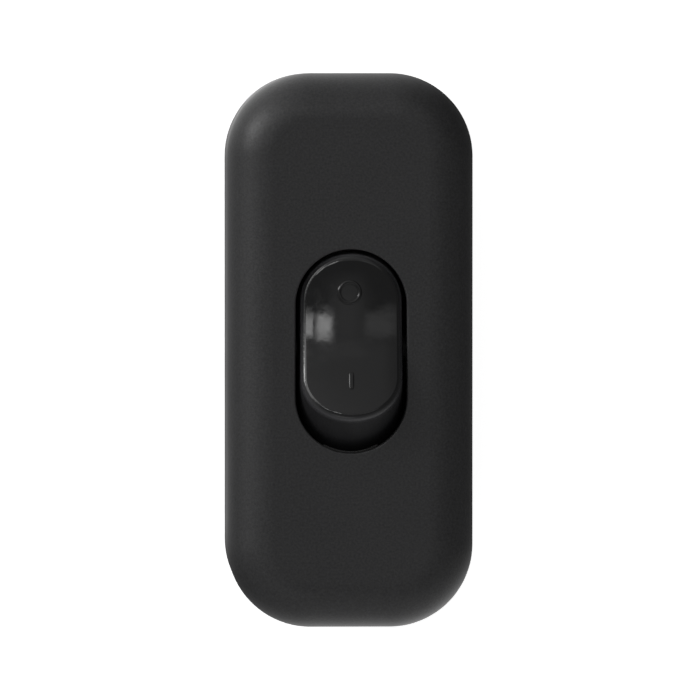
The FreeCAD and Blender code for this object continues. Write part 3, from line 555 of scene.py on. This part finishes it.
# Painted reflection: the glow that the switch's gloss sees fades away from the switch
painted_pool_falloff = add_node(paper, "ShaderNodeMapRange", {
    "Value": reach, "From Min": near_switch, "From Max": off_switch, "To Min": 1.15, "To Max": 0.70})
ray = add_node(paper, "ShaderNodeLightPath", {})
sheet = add_node(paper, "ShaderNodeBsdfDiffuse", {"Color": linear("#e8e8e8")})
lift = add_node(paper, "ShaderNodeMath", {
    0: ray.outputs["Is Camera Ray"], 1: paper_lift}, operation="MULTIPLY")
glow = add_node(paper, "ShaderNodeEmission", {"Color": linear("#ffffff"), "Strength": lift.outputs[0]})
seen = add_node(paper, "ShaderNodeAddShader", {0: sheet.outputs[0], 1: glow.outputs[0]})
# Painted reflection: pools of glow towards two opposite corners and both ends, seen only in gloss
painted_pool = corner_light(paper, heading, level=0.27, left=0.16, ends=0.74, corners=1.06, least=0.09)
painted_pool = add_node(paper, "ShaderNodeMath", {0: painted_pool, 1: painted_pool_falloff.outputs["Result"]}, operation="MULTIPLY")
painted_pools = add_node(paper, "ShaderNodeEmission", {"Color": linear("#ffffff"), "Strength": painted_pool.outputs[0]})
gloss = add_node(paper, "ShaderNodeMath", {
    0: ray.outputs["Is Glossy Ray"], 1: ray.outputs["Is Transmission Ray"]}, operation="MAXIMUM")
both = add_node(paper, "ShaderNodeMixShader", {
    0: gloss.outputs[0], 1: seen.outputs[0], 2: painted_pools.outputs[0]})
add_node(paper, "ShaderNodeOutputMaterial", {"Surface": both.outputs[0]})
floor.data.materials.append(paper)


# Studio light: soft panels round the camera, and a room beyond them that is dim overhead.
# The room is lit like the floor, from its upper left and lower right corners.
cover_top = Vector((0, 0, 20 * MM))


def panel(name, place, size, radiance, fade):
    """A soft rectangular panel, level and facing the switch, with a radiance on a scale where 1 is white.

    It fades towards its edges over the given shares of its half width and half height.
    """
    data = bpy.data.lights.new(name, "AREA")
    data.shape = "RECTANGLE"
    data.size, data.size_y = size
    data.energy = radiance * math.pi * size[0] * size[1]
    data.use_nodes = True
    data.node_tree.nodes.clear()
    across = add_node(data, "ShaderNodeNewGeometry", {}).outputs["Parametric"]
    across = add_node(data, "ShaderNodeVectorMath", {0: across, 1: (0.5, 0.5, 0)}, operation="SUBTRACT")
    across = add_node(data, "ShaderNodeVectorMath", {0: across.outputs[0]}, operation="ABSOLUTE")
    edges = add_node(data, "ShaderNodeSeparateXYZ", {0: across.outputs[0]})
    shares = []
    for axis, share in zip("XY", fade):
        faded = add_node(data, "ShaderNodeMapRange", {
            "Value": edges.outputs[axis], "From Min": 0.5, "From Max": 0.5 - 0.5 * share,
            "To Min": 0.0, "To Max": 1.0}, interpolation_type="SMOOTHSTEP")
        shares.append(faded.outputs["Result"])
    level = add_node(data, "ShaderNodeMath", {0: shares[0], 1: shares[1]}, operation="MULTIPLY")
    light = add_node(data, "ShaderNodeEmission", {"Color": linear("#ffffff"), "Strength": level.outputs[0]})
    add_node(data, "ShaderNodeOutputLight", {"Surface": light.outputs[0]})
    lamp = bpy.data.objects.new(name, data)
    bpy.context.scene.collection.objects.link(lamp)
    back = (Vector(place) - cover_top).normalized()
    right = Vector((1, 0, 0)) if abs(back.x) < 0.7 else Vector((0, 1, 0))
    up = back.cross(right).normalized()
    turn = Matrix((up.cross(back), up, back)).transposed()
    lamp.matrix_world = Matrix.Translation(place) @ turn.to_4x4()
    lamp.visible_camera = False


panel("panel_over_left", (-0.240, 0.322, 0.92), (0.230, 0.118), 4.1, (0.6, 0.25))
panel("panel_over_far_left", (-0.437, 0.322, 0.92), (0.14, 0.112), 4.0, (0.15, 0.2))
panel("panel_over_right", (0.325, 0.322, 0.92), (0.44, 0.17), 0.48, (0.6, 0.7))
panel("panel_over", (0, 0.31, 1.03), (0.62, 0.46), 0.26, (0.9, 0.7))
panel("panel_behind", (0, 0.71, 0.98), (1.60, 0.60), 0.24, (0.5, 0.25))
panel("panel_corner", (-0.80, 0.53, 0.82), (0.80, 0.60), 2.05, (0.7, 0.7))
panel("panel_low_left", (-0.98, 0.52, 0.45), (0.42, 0.48), 11.0, (0.7, 0.7))
panel("panel_front", (0.35, -1.05, 0.53), (0.80, 0.50), 0.25, (0.5, 0.5))
panel("panel_over_front", (-0.25, -0.64, 0.95), (1.10, 0.55), 0.45, (0.7, 0.7))

overhead = 0.20
dim_above = 0.98
lit_below = 0.43
world = bpy.data.worlds.new("studio")
bpy.context.scene.world = world
world.use_nodes = True
world.node_tree.nodes.clear()
ray = add_node(world, "ShaderNodeLightPath", {})
way = add_node(world, "ShaderNodeTexCoord", {}).outputs["Generated"]
height = add_node(world, "ShaderNodeSeparateXYZ", {0: way}).outputs["Z"]
lean = add_node(world, "ShaderNodeMapRange", {
    "Value": height, "From Min": dim_above, "From Max": lit_below, "To Min": 0.0, "To Max": 1.0},
    interpolation_type="SMOOTHSTEP")
walls = corner_light(world, way, level=0.09, left=0.20, ends=0.23, corners=0.56, least=-0.07)
room = add_node(world, "ShaderNodeMath", {
    0: walls, 1: lean.outputs["Result"], 2: overhead}, operation="MULTIPLY_ADD")
dim = add_node(world, "ShaderNodeBackground", {"Color": linear("#ffffff"), "Strength": room.outputs[0]})
white = add_node(world, "ShaderNodeBackground", {"Color": linear("#ffffff"), "Strength": 1.0})
mixed = add_node(world, "ShaderNodeMixShader", {
    0: ray.outputs["Is Camera Ray"], 1: dim.outputs[0], 2: white.outputs[0]})
add_node(world, "ShaderNodeOutputWorld", {"Surface": mixed.outputs[0]})

scene = bpy.context.scene
scene.view_settings.view_transform = "Standard"


# Camera: straight above the switch, a touch to its left and towards the O end.
# It stands a metre off with a long lens, so that the walls of the window hardly show.
frame_width = 77.97 * MM
distance = 1.0
lean_back = math.radians(-1.6)
lean_left = math.radians(-1.95)
aim = Vector((-0.15, 0.15, 21.0)) * MM
camera_data = bpy.data.cameras.new("camera")
camera = bpy.data.objects.new("camera", camera_data)
scene.collection.objects.link(camera)
camera_data.lens = camera_data.sensor_width * distance / frame_width
camera.rotation_euler = Euler((lean_back, lean_left, 0))
looking = camera.rotation_euler.to_matrix() @ Vector((0, 0, -1))
camera.location = aim - looking * distance
scene.camera = camera
